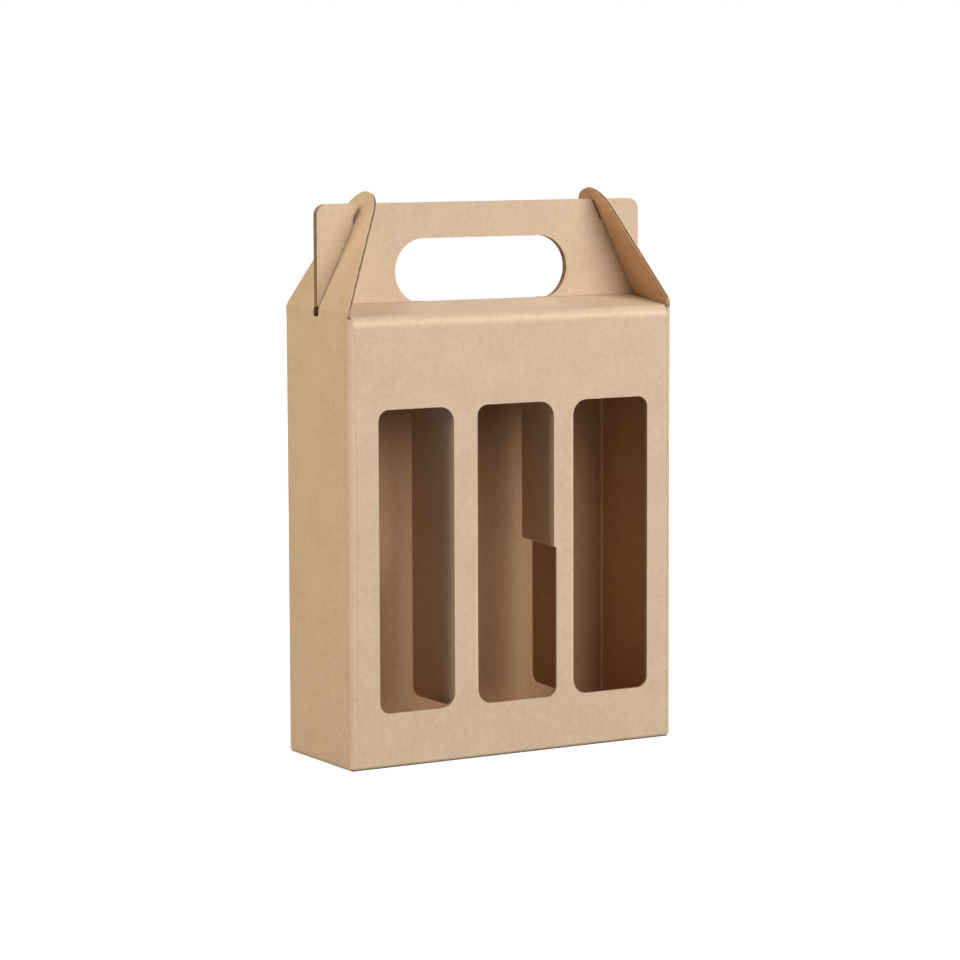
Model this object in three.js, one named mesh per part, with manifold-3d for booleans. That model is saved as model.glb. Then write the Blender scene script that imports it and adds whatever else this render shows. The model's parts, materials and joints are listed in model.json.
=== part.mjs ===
// Gable box for three bottles, folded from one sheet of kraft corrugated board.
// Millimetres, +Z up, front faces -Y, origin under the middle of the box.
import * as THREE from "three";
import Module from "manifold-3d";

// Board and folds
const BOARD = 1.8; // thickness of the corrugated board
const CREASE_GAP = 0.3; // gap kept between two panels that meet at a crease
const FOLD_STEPS = 4; // flats that stand for one half of a rounded fold
const ROUND_STEPS = 6; // flats that stand for a quarter of a cut corner

// Body, outside sizes
const WIDTH = 202;
const DEPTH = 72;
const HEIGHT = 240; // floor to the crease between front and roof

// Windows and the dividers folded in from them
const WINDOW_WIDTH = 48;
const WINDOW_HEIGHT = 162;
const WINDOW_SILL = 28.9; // floor to the lower edge of the windows
const WINDOW_RADIUS = 6;
const MULLION = 12.3; // board left between two windows
const ROW_SHIFT = 0.9; // the row of windows sits this much right of the middle
const FIRST_TRIM = 2.1; // window 1 is cut this much narrower, on its right
const CUT = 0.5; // how much narrower a divider is than the window it came from
const HALVES_SHIFT = 1.1; // cut between the halves of window 2, above the window's middle
const HALVES_RADIUS = 1; // corners at that cut
const HALVES_STEP = 1.5; // lower half of window 2 is cut this much wider, on its right
const CREASE_INSET = 1.3; // a crease on a window's right runs this far inside the window
const CREASE_SETBACK = 9; // a crease ends this far from the window's head and sill
const UPPER_LEAN = THREE.MathUtils.degToRad(10.5); // upper half of window 2 folds past square
const LOWER_LEAN = THREE.MathUtils.degToRad(7); // so does the lower half
const RIGHT_LEAN = THREE.MathUtils.degToRad(-5.4); // window 3's board springs back short of square

// Roof and handle
const ROOF_RISE = 5; // from the front crease up to the foot of the handle
const ROOF_END_PLAY = 1; // roof panel to ear, at each end
const PLY_GAP = 0.4; // between the two handle plies
const HANDLE_HEIGHT = 53.3; // foot to top edge
const HANDLE_TOP_RADIUS = 6;
const HANDLE_FOOT_RADIUS = 3;
const HAND_HOLE_WIDTH = 108;
const HAND_HOLE_HEIGHT = 35;
const HAND_HOLE_DROP = 1; // how far the hole runs below the foot of the handle
const NOTCH_DEPTH = 12; // notch in the handle's top edge that an ear drops into
const NOTCH_PLAY = 1; // handle notch to ear, on its inner wall

// Ears
const EAR_FOLD_RISE = 3; // ear crease above the front crease
const EAR_LEAN = THREE.MathUtils.degToRad(26.5);
const EAR_LENGTH = 69; // crease to the top of the head, along the ear
const EAR_BASE = 69; // width along the crease
const EAR_KNEE = 2.5; // upright part of the ear's edges above the crease
const EAR_HEAD_RADIUS = 17;
const SLOT_PLAY = 2.2; // ear slot to handle ply, each side
const SLOT_HEAD_PLAY = 0.4; // bridge of the ear above the handle's top edge
const SLOT_DROP = 4; // how far the slot runs down into the side panel
const SLOT_RADIUS = 1.5;
const SHOULDER_STEP = 1.2; // side panel's corners end this far below the front crease

// Glued seam
const GLUE_FILM = 0.3;
const GLUE_FLAP_WIDTH = 28;
const GLUE_FLAP_END = 7; // glue flap ends short of the walls' ends
const GLUE_FLAP_TAPER = 6;
const GLUE_MARGIN = 4; // glue stays this far inside the flap's edges

// Snap-lock bottom: the flaps lie over each other, so each climbs to its own layer
const LAYER = BOARD + CREASE_GAP;
const SIDE_RAMP = 8; // length over which a side flap climbs one layer
const BACK_RAMP = 12; // length over which the back flap climbs two layers
const TONGUE_RAMP = 15; // length over which the tongue climbs three layers
const BOTTOM_PLAY = 0.7; // between neighbouring bottom flaps, seen from above
const SIDE_FLAP_LENGTH = 38;
const FRONT_FLAP_LENGTH = 40;
const BACK_FLAP_LENGTH = 44;
const RECESS_DEPTH = 14; // recess in the back flap that the tongue passes through
const TONGUE_WIDTH = 96;
const TONGUE_LAP = 16; // tongue's rest on the back flap
const TONGUE_RADIUS = 8;
const FLAP_RADIUS = 5;

const wasm = await Module();
wasm.setup();

const X = new THREE.Vector3(1, 0, 0);
const Y = new THREE.Vector3(0, 1, 0);
const Z = new THREE.Vector3(0, 0, 1);
const SQUARE = Math.PI / 4; // half of a square fold

const kraft = new THREE.MeshStandardMaterial({ color: 0xc9a57c, roughness: 0.9, metalness: 0 });
const glue = new THREE.MeshStandardMaterial({ color: 0xe8e2cf, roughness: 0.5, metalness: 0 });
const box = new THREE.Group();
box.name = "gable_box";

const at = (x, y, z) => new THREE.Vector3(x, y, z);

// A direction in the plane of two axes, turned from the first towards the second.
function turned(first, second, angle) {
  return first.clone().multiplyScalar(Math.cos(angle)).addScaledVector(second, Math.sin(angle));
}

// Shape to solid: drawn on axes a and b at an origin, carried both ways along a x b.
function sweep(shape, extent, a, b, origin) {
  const geometry = new THREE.ExtrudeGeometry(shape, {
    depth: extent,
    bevelEnabled: false,
    curveSegments: ROUND_STEPS,
  });
  geometry.translate(0, 0, -extent / 2);
  const basis = new THREE.Matrix4().makeBasis(a, b, a.clone().cross(b));
  return solid(geometry.applyMatrix4(basis.setPosition(origin)));
}

function solid(geometry) {
  const position = geometry.getAttribute("position");
  const made = new wasm.Mesh({
    numProp: 3,
    vertProperties: new Float32Array(position.array),
    triVerts: geometry.index
      ? new Uint32Array(geometry.index.array)
      : Uint32Array.from({ length: position.count }, (_, i) => i),
  });
  made.merge();
  return new wasm.Manifold(made);
}

const cut = (body, ...tools) => tools.reduce((left, tool) => left.subtract(tool), body);
const meet = (body, ...others) => others.reduce((left, other) => left.intersect(other), body);

function geometryOf(body) {
  const mesh = body.getMesh();
  return new THREE.BufferGeometry()
    .setAttribute("position", new THREE.BufferAttribute(new Float32Array(mesh.vertProperties), 3))
    .setIndex(new THREE.BufferAttribute(new Uint32Array(mesh.triVerts), 1));
}

function add(name, body, material = kraft) {
  const mesh = new THREE.Mesh(geometryOf(body), material);
  mesh.name = name;
  box.add(mesh);
  return mesh;
}

// The same piece at the opposite end or side: turned half a turn about the upright.
function addOpposite(name, mesh) {
  const twin = new THREE.Mesh(mesh.geometry, mesh.material);
  twin.name = name;
  twin.rotation.z = Math.PI;
  box.add(twin);
}

// End of a board's section, from its lower to its upper face. The fold's apex is the sharp corner
// of the outer faces, half is half the angle folded: above 0 the upper face is the outside of the
// fold, below 0 the lower face is, and 0 is a plain cut.
function foldEnd(apex, half, towards) {
  if (half === 0) return [new THREE.Vector2(apex, 0), new THREE.Vector2(apex, BOARD)];
  const turn = Math.abs(half);
  const centre = apex - towards * (CREASE_GAP / 2 / Math.cos(turn) + BOARD * Math.tan(turn));
  const arc = Array.from({ length: FOLD_STEPS + 1 }, (_, i) => {
    const a = turn * (1 - i / FOLD_STEPS);
    return new THREE.Vector2(centre + towards * BOARD * Math.sin(a), BOARD * Math.cos(a));
  });
  const upward = [new THREE.Vector2(centre, 0), ...arc];
  if (half > 0) return upward;
  return upward.map((p) => new THREE.Vector2(p.x, BOARD - p.y)).reverse();
}

// Section of a board between two ends.
function section(from, fromHalf, to, toHalf) {
  return new THREE.Shape([...foldEnd(to, toHalf, 1), ...foldEnd(from, fromHalf, -1).reverse()]);
}

// What a fold takes off a straight-cut edge at 0, on the side where the board goes on.
function foldRelief(half) {
  const edge = foldEnd(0, half, 1);
  return new THREE.Shape([
    new THREE.Vector2(edge[0].x, -BOARD),
    ...edge,
    new THREE.Vector2(edge[0].x, 2 * BOARD),
    new THREE.Vector2(BOARD, 2 * BOARD),
    new THREE.Vector2(BOARD, -BOARD),
  ]);
}

// Closed outline with each corner cut to its own radius. Corners are [x, y, radius].
function outline(corners) {
  const shape = new THREE.Shape();
  const count = corners.length;
  corners.forEach(([x, y, radius], i) => {
    const here = new THREE.Vector2(x, y);
    const [px, py] = corners[(i + count - 1) % count];
    const [nx, ny] = corners[(i + 1) % count];
    const back = new THREE.Vector2(px, py).sub(here).normalize();
    const ahead = new THREE.Vector2(nx, ny).sub(here).normalize();
    const open = Math.acos(THREE.MathUtils.clamp(back.dot(ahead), -1, 1));
    const reach = radius / Math.tan(open / 2);
    const from = here.clone().addScaledVector(back, reach);
    const to = here.clone().addScaledVector(ahead, reach);
    if (i === 0) shape.moveTo(from.x, from.y);
    else shape.lineTo(from.x, from.y);
    if (radius === 0) return;
    const middle = back.clone().add(ahead).normalize();
    const centre = here.clone().addScaledVector(middle, radius / Math.sin(open / 2));
    const a = Math.atan2(from.y - centre.y, from.x - centre.x);
    const b = Math.atan2(to.y - centre.y, to.x - centre.x);
    const turn = Math.atan2(Math.sin(b - a), Math.cos(b - a));
    for (let k = 1; k <= ROUND_STEPS; k += 1) {
      const angle = a + (turn * k) / ROUND_STEPS;
      shape.lineTo(centre.x + radius * Math.cos(angle), centre.y + radius * Math.sin(angle));
    }
  });
  return shape;
}

// Outline that is the same on both sides of x = 0, from the corners of its right half, bottom first.
function mirrored(right) {
  const left = right.map(([x, y, radius]) => [-x, y, radius]).reverse();
  return outline([...right, ...left]);
}

// Rectangle about a middle, all corners cut to one radius.
function slab(cx, cy, width, height, radius) {
  const [right, top] = [width / 2, height / 2];
  return outline([
    [cx - right, cy - top, radius],
    [cx + right, cy - top, radius],
    [cx + right, cy + top, radius],
    [cx - right, cy + top, radius],
  ]);
}

const halfWidth = WIDTH / 2;
const halfDepth = DEPTH / 2;
const inner = halfDepth - BOARD; // inner faces of front and back
const ample = 4 * HEIGHT; // longer than any piece, for bodies that others trim

// Roof slope, from the front crease to the foot of the handle's front face
const plyOuter = BOARD + PLY_GAP / 2;
const slope = Math.atan2(ROOF_RISE, halfDepth - plyOuter);
const roofHalf = (Math.PI / 2 - slope) / 2;
const roofAlong = turned(Y, Z, slope);
const roofUp = turned(Z, Y, -slope);
const roofLength = (halfDepth - PLY_GAP / 2 - BOARD * Math.sin(slope)) / Math.cos(slope);
const footZ = HEIGHT + roofLength * Math.sin(slope) - BOARD * Math.cos(slope);
const handleTop = HEIGHT + ROOF_RISE + HANDLE_HEIGHT;
const slotHalf = plyOuter + SLOT_PLAY;

// Ear plane: distance from the box side, at a height, of its outer and inner face
const earFold = HEIGHT + EAR_FOLD_RISE;
const earOuter = (z) => (z - earFold) * Math.tan(EAR_LEAN);
const earInner = (z) => earOuter(z) + BOARD / Math.cos(EAR_LEAN);

// Front panel: upright board folded at all four edges, with three windows
const frontFace = at(0, -inner, 0);
const forwards = Y.clone().negate();
const leftwards = X.clone().negate();
const wallPlan = section(-halfWidth, SQUARE, halfWidth, SQUARE);
const frontRise = section(0, SQUARE, HEIGHT, roofHalf);

// Window edges
const head = WINDOW_SILL + WINDOW_HEIGHT;
const halvesCut = WINDOW_SILL + WINDOW_HEIGHT / 2 + HALVES_SHIFT;
const pitch = WINDOW_WIDTH + MULLION;
const centreLeft = ROW_SHIFT - WINDOW_WIDTH / 2;
const centreRight = centreLeft + WINDOW_WIDTH;
const lowerRight = centreRight + HALVES_STEP;
const firstLeft = centreLeft - pitch;
const firstRight = centreRight - pitch - FIRST_TRIM;
const lastLeft = centreLeft + pitch;
const lastRight = centreRight + pitch;

// Upright extent of a window's board and of the crease it stays joined at
const whole = {
  low: WINDOW_SILL,
  lowRadius: WINDOW_RADIUS,
  creaseLow: WINDOW_SILL + CREASE_SETBACK,
  creaseHigh: head - CREASE_SETBACK,
  highRadius: WINDOW_RADIUS,
  high: head,
};
const upper = { ...whole, low: halvesCut, lowRadius: HALVES_RADIUS, creaseLow: halvesCut };
const lower = { ...whole, high: halvesCut, highRadius: HALVES_RADIUS, creaseHigh: halvesCut };

// A divider's fold: side is 1 where the crease is on the window's right, -1 on its left
const foldOf = (extent, side, hinge, freeEdge, lean) => ({
  ...extent,
  side,
  hinge,
  lean,
  reach: side * (hinge - freeEdge) - CUT,
});
const firstHinge = firstRight - CREASE_INSET;
const upperHinge = centreRight - CREASE_INSET;
const folds = {
  left_divider: foldOf(whole, 1, firstHinge, firstLeft, 0),
  centre_upper_divider: foldOf(upper, 1, upperHinge, centreLeft, UPPER_LEAN),
  centre_lower_divider: foldOf(lower, -1, centreLeft, lowerRight, LOWER_LEAN),
  right_divider: foldOf(whole, -1, lastLeft, lastRight, RIGHT_LEAN),
};
const foldHalf = (fold) => SQUARE + fold.lean / 2;
const creaseMiddle = (fold) => (fold.creaseLow + fold.creaseHigh) / 2;

// Window outlines, each from its lower left corner round by its right edge
const openings = [
  outline([
    [firstLeft, WINDOW_SILL, WINDOW_RADIUS],
    [firstRight, WINDOW_SILL, WINDOW_RADIUS],
    [firstRight, whole.creaseLow, 0],
    [firstHinge, whole.creaseLow, 0],
    [firstHinge, whole.creaseHigh, 0],
    [firstRight, whole.creaseHigh, 0],
    [firstRight, head, WINDOW_RADIUS],
    [firstLeft, head, WINDOW_RADIUS],
  ]),
  outline([
    [centreLeft, WINDOW_SILL, WINDOW_RADIUS],
    [lowerRight, WINDOW_SILL, WINDOW_RADIUS],
    [lowerRight, halvesCut, HALVES_RADIUS],
    [upperHinge, halvesCut, 0],
    [upperHinge, upper.creaseHigh, 0],
    [centreRight, upper.creaseHigh, 0],
    [centreRight, head, WINDOW_RADIUS],
    [centreLeft, head, WINDOW_RADIUS],
  ]),
  outline([
    [lastLeft, WINDOW_SILL, WINDOW_RADIUS],
    [lastRight, WINDOW_SILL, WINDOW_RADIUS],
    [lastRight, head, WINDOW_RADIUS],
    [lastLeft, head, WINDOW_RADIUS],
  ]),
];
const windows = openings.map((shape) => sweep(shape, DEPTH, X, Z, frontFace));
const reliefs = Object.values(folds).map((fold) => {
  const intoWindow = X.clone().multiplyScalar(-fold.side);
  const origin = at(fold.hinge, -inner, creaseMiddle(fold));
  const length = fold.creaseHigh - fold.creaseLow;
  return sweep(foldRelief(foldHalf(fold)), length, intoWindow, forwards, origin);
});
const frontBoard = meet(
  sweep(wallPlan, ample, X, forwards, frontFace),
  sweep(frontRise, WIDTH, Z, forwards, frontFace),
);
add("front_panel", cut(frontBoard, ...windows, ...reliefs));

// Dividers: each window's board, with its own corners, folded in about its crease
Object.entries(folds).forEach(([name, fold]) => {
  const along = turned(Y, X, fold.side * fold.lean);
  const outward = turned(X, Y, -fold.side * fold.lean).multiplyScalar(-fold.side);
  const apex = at(fold.hinge, -halfDepth, 0);
  const origin = apex.clone().addScaledVector(outward, -BOARD);
  const [low, high] = [fold.low + CUT / 2, fold.high - CUT / 2];
  const [rootLow, rootHigh] = [fold.creaseLow + CUT, fold.creaseHigh - CUT];
  const neck = BOARD + 2 * CREASE_GAP; // the joined edge stays narrow through the panel's thickness
  const body = sweep(section(0, foldHalf(fold), fold.reach, 0), ample, along, outward, origin);
  const face = outline([
    [0, rootLow, 0],
    [neck, rootLow, 0],
    [neck, low, rootLow > low + neck ? fold.lowRadius : 0],
    [fold.reach, low, fold.lowRadius],
    [fold.reach, high, fold.highRadius],
    [neck, high, rootHigh < high - neck ? fold.highRadius : 0],
    [neck, rootHigh, 0],
    [0, rootHigh, 0],
  ]);
  add(name, meet(body, sweep(face, ample, along, Z, origin)));
});

// Back panel: plain, folded to the left side, its right edge cut and lapping over the glue flap
add(
  "back_panel",
  meet(
    sweep(section(-halfWidth, SQUARE, halfWidth, 0), ample, X, Y, at(0, inner, 0)),
    sweep(frontRise, WIDTH, Z, Y, at(0, inner, 0)),
  ),
);

// Side panels: corners step down to the front crease, top edge carries the ear
const sideRise = section(0, SQUARE, earFold, EAR_LEAN / 2);
const sideFace = mirrored([
  [halfDepth, -BOARD, 0],
  [halfDepth, HEIGHT - SHOULDER_STEP, 0],
  [EAR_BASE / 2, HEIGHT - SHOULDER_STEP, 0],
  [EAR_BASE / 2, earFold + BOARD, 0],
]);
const slotFoot = slab(0, earFold, 2 * slotHalf, 2 * SLOT_DROP, SLOT_RADIUS);
function sidePanel(name, outward, backEdge) {
  const origin = outward.clone().multiplyScalar(halfWidth - BOARD);
  add(
    name,
    cut(
      meet(
        sweep(section(-halfDepth, SQUARE, backEdge, SQUARE), ample, Y, outward, origin),
        sweep(sideRise, DEPTH, Z, outward, origin),
        sweep(sideFace, ample, Y, Z, at(0, 0, 0)),
      ),
      sweep(slotFoot, ample, Y, Z, at(0, 0, 0)),
    ),
  );
}
const seamFace = inner - GLUE_FILM; // outer face of the glue flap
sidePanel("left_side_panel", leftwards, halfDepth);
sidePanel("right_side_panel", X, seamFace);

// Glue flap: folded from the right side panel, inside the back panel, ends tapered
const flapEnd = halfWidth - GLUE_FLAP_WIDTH;
function flapFace(margin) {
  const low = GLUE_FLAP_END + margin;
  const high = HEIGHT - GLUE_FLAP_END - margin;
  return outline([
    [flapEnd + margin, low + GLUE_FLAP_TAPER, 0],
    [halfWidth - margin, low, 0],
    [halfWidth - margin, high, 0],
    [flapEnd + margin, high - GLUE_FLAP_TAPER, 0],
  ]);
}
add(
  "glue_flap",
  meet(
    sweep(section(flapEnd, 0, halfWidth, SQUARE), ample, X, Y, at(0, seamFace - BOARD, 0)),
    sweep(flapFace(0), ample, X, Z, at(0, 0, 0)),
  ),
);
add("seam_glue", sweep(flapFace(GLUE_MARGIN), GLUE_FILM, X, Z, at(0, inner - GLUE_FILM / 2, 0)), glue);

// Roof panel: its ends follow the ears, its inner edge turns up into the handle ply
const roofFrontEnd = halfWidth - BOARD - ROOF_END_PLAY;
const roofFootEnd = halfWidth - earInner(HEIGHT + ROOF_RISE) - ROOF_END_PLAY;
const roofPlan = outline([
  [-roofFrontEnd, -halfDepth, 0],
  [roofFrontEnd, -halfDepth, 0],
  [roofFootEnd, 0, 0],
  [-roofFootEnd, 0, 0],
]);
const roofApex = at(0, -halfDepth, HEIGHT);
const roofOrigin = roofApex.clone().addScaledVector(roofUp, -BOARD);
const roof = meet(
  sweep(section(0, roofHalf, roofLength, -roofHalf), ample, roofAlong, roofUp, roofOrigin),
  sweep(roofPlan, ample, X, Y, at(0, 0, HEIGHT)),
);
addOpposite("back_roof_panel", add("front_roof_panel", roof));

// Handle ply: hand hole open at the foot, a notch for each ear in the top edge
const wingFoot = HEIGHT + ROOF_RISE + CREASE_GAP;
const notchFloor = handleTop - NOTCH_DEPTH;
const notchWall = halfWidth - earOuter(notchFloor);
const notchInner = (z) => halfWidth - earInner(z) - NOTCH_PLAY;
const plyFace = mirrored([
  [roofFootEnd, footZ - BOARD, 0],
  [roofFootEnd, wingFoot, 0],
  [halfWidth, wingFoot, HANDLE_FOOT_RADIUS],
  [halfWidth, handleTop, HANDLE_TOP_RADIUS],
  [notchWall, handleTop, 0],
  [notchWall, notchFloor, 0],
  [notchInner(notchFloor), notchFloor, 0],
  [notchInner(handleTop), handleTop, 0],
]);
const holeRadius = HAND_HOLE_HEIGHT / 2;
const holeFloor = HEIGHT + ROOF_RISE - HAND_HOLE_DROP;
const handHole = slab(0, holeFloor + holeRadius, HAND_HOLE_WIDTH, HAND_HOLE_HEIGHT, holeRadius);
const ply = cut(
  meet(
    sweep(section(0, roofHalf, handleTop - footZ, 0), ample, Z, Y, at(0, -plyOuter, footZ)),
    sweep(plyFace, ample, X, Z, at(0, 0, 0)),
  ),
  sweep(handHole, DEPTH, X, Z, at(0, 0, 0)),
);
addOpposite("back_handle_ply", add("front_handle_ply", ply));

// Ear: tapers to a round head, slotted from its crease up to the bridge over the handle
const slotHead =
  (handleTop + SLOT_HEAD_PLAY - earFold + BOARD * Math.sin(EAR_LEAN)) / Math.cos(EAR_LEAN);
const earAlong = turned(Z, X, EAR_LEAN);
const earOut = turned(leftwards, Z, EAR_LEAN);
const earOrigin = at(-halfWidth, 0, earFold).addScaledVector(earOut, -BOARD);
const headCentre = EAR_LENGTH - EAR_HEAD_RADIUS;
const headAway = Math.hypot(EAR_BASE / 2, headCentre - EAR_KNEE);
const tangent =
  Math.atan2(EAR_BASE / 2, headCentre - EAR_KNEE) - Math.asin(EAR_HEAD_RADIUS / headAway);
const earFace = new THREE.Shape();
earFace.moveTo(-EAR_BASE / 2, -BOARD);
earFace.lineTo(EAR_BASE / 2, -BOARD);
earFace.lineTo(EAR_BASE / 2, EAR_KNEE);
earFace.absarc(0, headCentre, EAR_HEAD_RADIUS, tangent, Math.PI - tangent, false);
earFace.lineTo(-EAR_BASE / 2, EAR_KNEE);
const slot = slab(0, 0, 2 * slotHalf, 2 * slotHead, SLOT_RADIUS);
const ear = cut(
  meet(
    sweep(section(0, EAR_LEAN / 2, EAR_LENGTH, 0), DEPTH, earAlong, earOut, earOrigin),
    sweep(earFace, ample, Y, earAlong, earOrigin),
  ),
  sweep(slot, ample, Y, earAlong, earOrigin),
);
addOpposite("right_ear", add("left_ear", ear));

// Snap-lock bottom. Section of a flap that climbs to its layer after leaving its wall's crease.
function climbing(start, ramp, layers, length) {
  const rise = layers * LAYER;
  const lower = [
    [start, 0],
    [start + ramp, rise],
    [length, rise],
  ];
  const upper = lower.map(([s, z]) => [s, z + BOARD]).reverse();
  const crease = foldEnd(0, -SQUARE, -1).reverse();
  return new THREE.Shape([...[...lower, ...upper].map(([s, z]) => new THREE.Vector2(s, z)), ...crease]);
}
const clearOfCrease = 2 * BOARD; // where a flap starts to climb
const sideLevel = clearOfCrease + SIDE_RAMP; // a side flap is at its layer from here on
const backLevel = clearOfCrease + BACK_RAMP;

// Side flaps: front edge cut on the slant to clear the front flap, back edge clear of the back flap
const slantEnd = sideLevel + BOTTOM_PLAY;
const sideFlapBack = halfDepth - backLevel - BOTTOM_PLAY;
const sideFlapPlan = outline([
  [-halfWidth - BOARD, -halfDepth + BOTTOM_PLAY, 0],
  [-halfWidth + slantEnd, -halfDepth + slantEnd + 2 * BOTTOM_PLAY, 0],
  [-halfWidth + SIDE_FLAP_LENGTH, -halfDepth + SIDE_FLAP_LENGTH, FLAP_RADIUS],
  [-halfWidth + SIDE_FLAP_LENGTH, sideFlapBack, FLAP_RADIUS],
  [-halfWidth - BOARD, sideFlapBack, 0],
]);
const sideSection = climbing(clearOfCrease, SIDE_RAMP, 1, SIDE_FLAP_LENGTH);
const sideFlap = meet(
  sweep(sideSection, DEPTH, X, Z, at(-halfWidth, 0, 0)),
  sweep(sideFlapPlan, ample, X, Y, at(0, 0, 0)),
);
add("bottom_left_flap", sideFlap);
add("bottom_right_flap", sideFlap.mirror([1, 0, 0]));

// Back flap: two legs with a recess between them
const recessHalf = TONGUE_WIDTH / 2 + 2 * BOTTOM_PLAY;
const legEnd = halfDepth - BACK_FLAP_LENGTH;
const backFlapEnd = halfWidth - BOARD - BOTTOM_PLAY;
const backFlapPlan = mirrored([
  [recessHalf, legEnd + RECESS_DEPTH, FLAP_RADIUS],
  [recessHalf, legEnd, FLAP_RADIUS],
  [backFlapEnd - RECESS_DEPTH, legEnd, FLAP_RADIUS],
  [backFlapEnd, halfDepth - backLevel, 0],
  [backFlapEnd, halfDepth + BOARD, 0],
]);
const backSection = climbing(clearOfCrease, BACK_RAMP, 2, BACK_FLAP_LENGTH);
add(
  "bottom_back_flap",
  meet(
    sweep(backSection, WIDTH, forwards, Z, at(0, halfDepth, 0)),
    sweep(backFlapPlan, ample, X, Y, at(0, 0, 0)),
  ),
);

// Front flap: flat shoulders under the legs, tongue up through the recess and over the back flap
const tongueHalf = TONGUE_WIDTH / 2;
const recessFloor = legEnd + RECESS_DEPTH;
const tongueRoot = recessFloor - BOTTOM_PLAY - TONGUE_RAMP; // where the tongue starts to climb
const tongueTip = recessFloor + TONGUE_LAP;
const frontFlapEnd = halfWidth - slantEnd;
const shoulders = mirrored([
  [tongueHalf - BOTTOM_PLAY, tongueRoot, 0],
  [tongueHalf + BOTTOM_PLAY, tongueRoot, 0],
  [tongueHalf + BOTTOM_PLAY, FRONT_FLAP_LENGTH - halfDepth, FLAP_RADIUS],
  [frontFlapEnd, FRONT_FLAP_LENGTH - halfDepth, FLAP_RADIUS],
  [frontFlapEnd, -halfDepth + slantEnd, 0],
  [halfWidth - 2 * BOTTOM_PLAY, -halfDepth, 0],
  [halfWidth - 2 * BOTTOM_PLAY, -halfDepth - BOARD, 0],
]);
const tonguePlan = mirrored([
  [tongueHalf - BOTTOM_PLAY, tongueRoot - LAYER, 0],
  [tongueHalf - BOTTOM_PLAY, tongueTip, TONGUE_RADIUS],
]);
const tongueSection = climbing(tongueRoot + halfDepth, TONGUE_RAMP, 3, tongueTip + halfDepth);
const flatSection = climbing(clearOfCrease, SIDE_RAMP, 0, FRONT_FLAP_LENGTH);
const frontCrease = at(0, -halfDepth, 0);
const flat = sweep(flatSection, WIDTH, Y, Z, frontCrease);
const tongue = sweep(tongueSection, TONGUE_WIDTH, Y, Z, frontCrease);
add(
  "bottom_front_flap",
  meet(flat, sweep(shoulders, ample, X, Y, at(0, 0, 0))).add(
    meet(tongue, sweep(tonguePlan, ample, X, Y, at(0, 0, 0))),
  ),
);

export default box;
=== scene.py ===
"""Kraft corrugated gable box for three bottles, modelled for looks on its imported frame.

Every panel is drawn where it lies on the flat die-cut sheet and is then folded into place, so the
grain of the paper and the flutes run on over each crease. On the sheet, a runs across the flutes,
b runs along them, and n is the height above the inner face. Lengths are in metres.
"""

import json

import bpy
import numpy as np
from mathutils import Matrix, Vector


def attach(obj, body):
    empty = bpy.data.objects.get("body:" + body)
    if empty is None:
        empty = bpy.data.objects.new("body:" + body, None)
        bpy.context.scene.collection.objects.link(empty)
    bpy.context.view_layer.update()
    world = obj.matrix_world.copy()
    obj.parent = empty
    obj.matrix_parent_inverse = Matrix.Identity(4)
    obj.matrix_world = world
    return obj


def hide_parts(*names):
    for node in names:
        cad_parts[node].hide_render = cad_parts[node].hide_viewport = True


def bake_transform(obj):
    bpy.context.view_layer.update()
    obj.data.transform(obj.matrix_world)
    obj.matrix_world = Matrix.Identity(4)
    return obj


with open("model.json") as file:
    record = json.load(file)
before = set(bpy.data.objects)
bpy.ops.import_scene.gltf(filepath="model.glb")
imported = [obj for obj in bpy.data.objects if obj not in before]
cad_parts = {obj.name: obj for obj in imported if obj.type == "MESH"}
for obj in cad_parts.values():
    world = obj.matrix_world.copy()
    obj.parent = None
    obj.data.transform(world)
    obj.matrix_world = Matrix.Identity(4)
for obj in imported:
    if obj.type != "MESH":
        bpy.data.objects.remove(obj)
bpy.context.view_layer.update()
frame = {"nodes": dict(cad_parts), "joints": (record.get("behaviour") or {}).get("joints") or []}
joints = {joint["name"]: joint for joint in frame["joints"]}


# Kraft liner: the brown paper on the outside of the board. It is uncoated, so it is dull, clouded
# by uneven pulp, grained along the machine's direction, and flecked. The fluted paper under it
# shows through as faint upright streaks. Along some bends its colour is made paler in a narrow
# band: partly a stretching liner, and partly a painted highlight along the crease.
MM = 0.001
FLUTE = 3.2 * MM
CLOUDS_PER_MM, CLOUDING = 0.045, 0.9
GRAINS_PER_MM, GRAINING = 0.3, 1.2
FIBRE_DRAW = (0.3, 1.5, 1.0)
FLECKS_PER_MM, FLECK_FROM, FLECK_FULL, FLECK_SHADE = 0.7, 0.69, 0.76, 0.3
STREAK = 0.005
FLUTE_SHOW = 0.1
PAPER_TOOTH = 0.1 * MM


def link(tree, kind, inputs=None, **settings):
    """A node of that kind: inputs holds a value or another node's socket for each named input."""
    node = tree.nodes.new(kind)
    for key, value in settings.items():
        setattr(node, key, value)
    for key, value in (inputs or {}).items():
        if isinstance(value, bpy.types.NodeSocket):
            tree.links.new(value, node.inputs[key])
        else:
            node.inputs[key].default_value = value
    return node


def maths(tree, operation, *values):
    """The result of one sum, product or other operation on values or sockets."""
    return link(tree, "ShaderNodeMath", dict(enumerate(values)), operation=operation).outputs[0]


def noise(tree, vector, scale, detail=2.0, roughness=0.5):
    """Cloudy noise from 0 to 1 with that many clouds to a unit of the vector."""
    settings = {"Vector": vector, "Scale": scale, "Detail": detail, "Roughness": roughness}
    return link(tree, "ShaderNodeTexNoise", settings).outputs[0]


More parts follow.
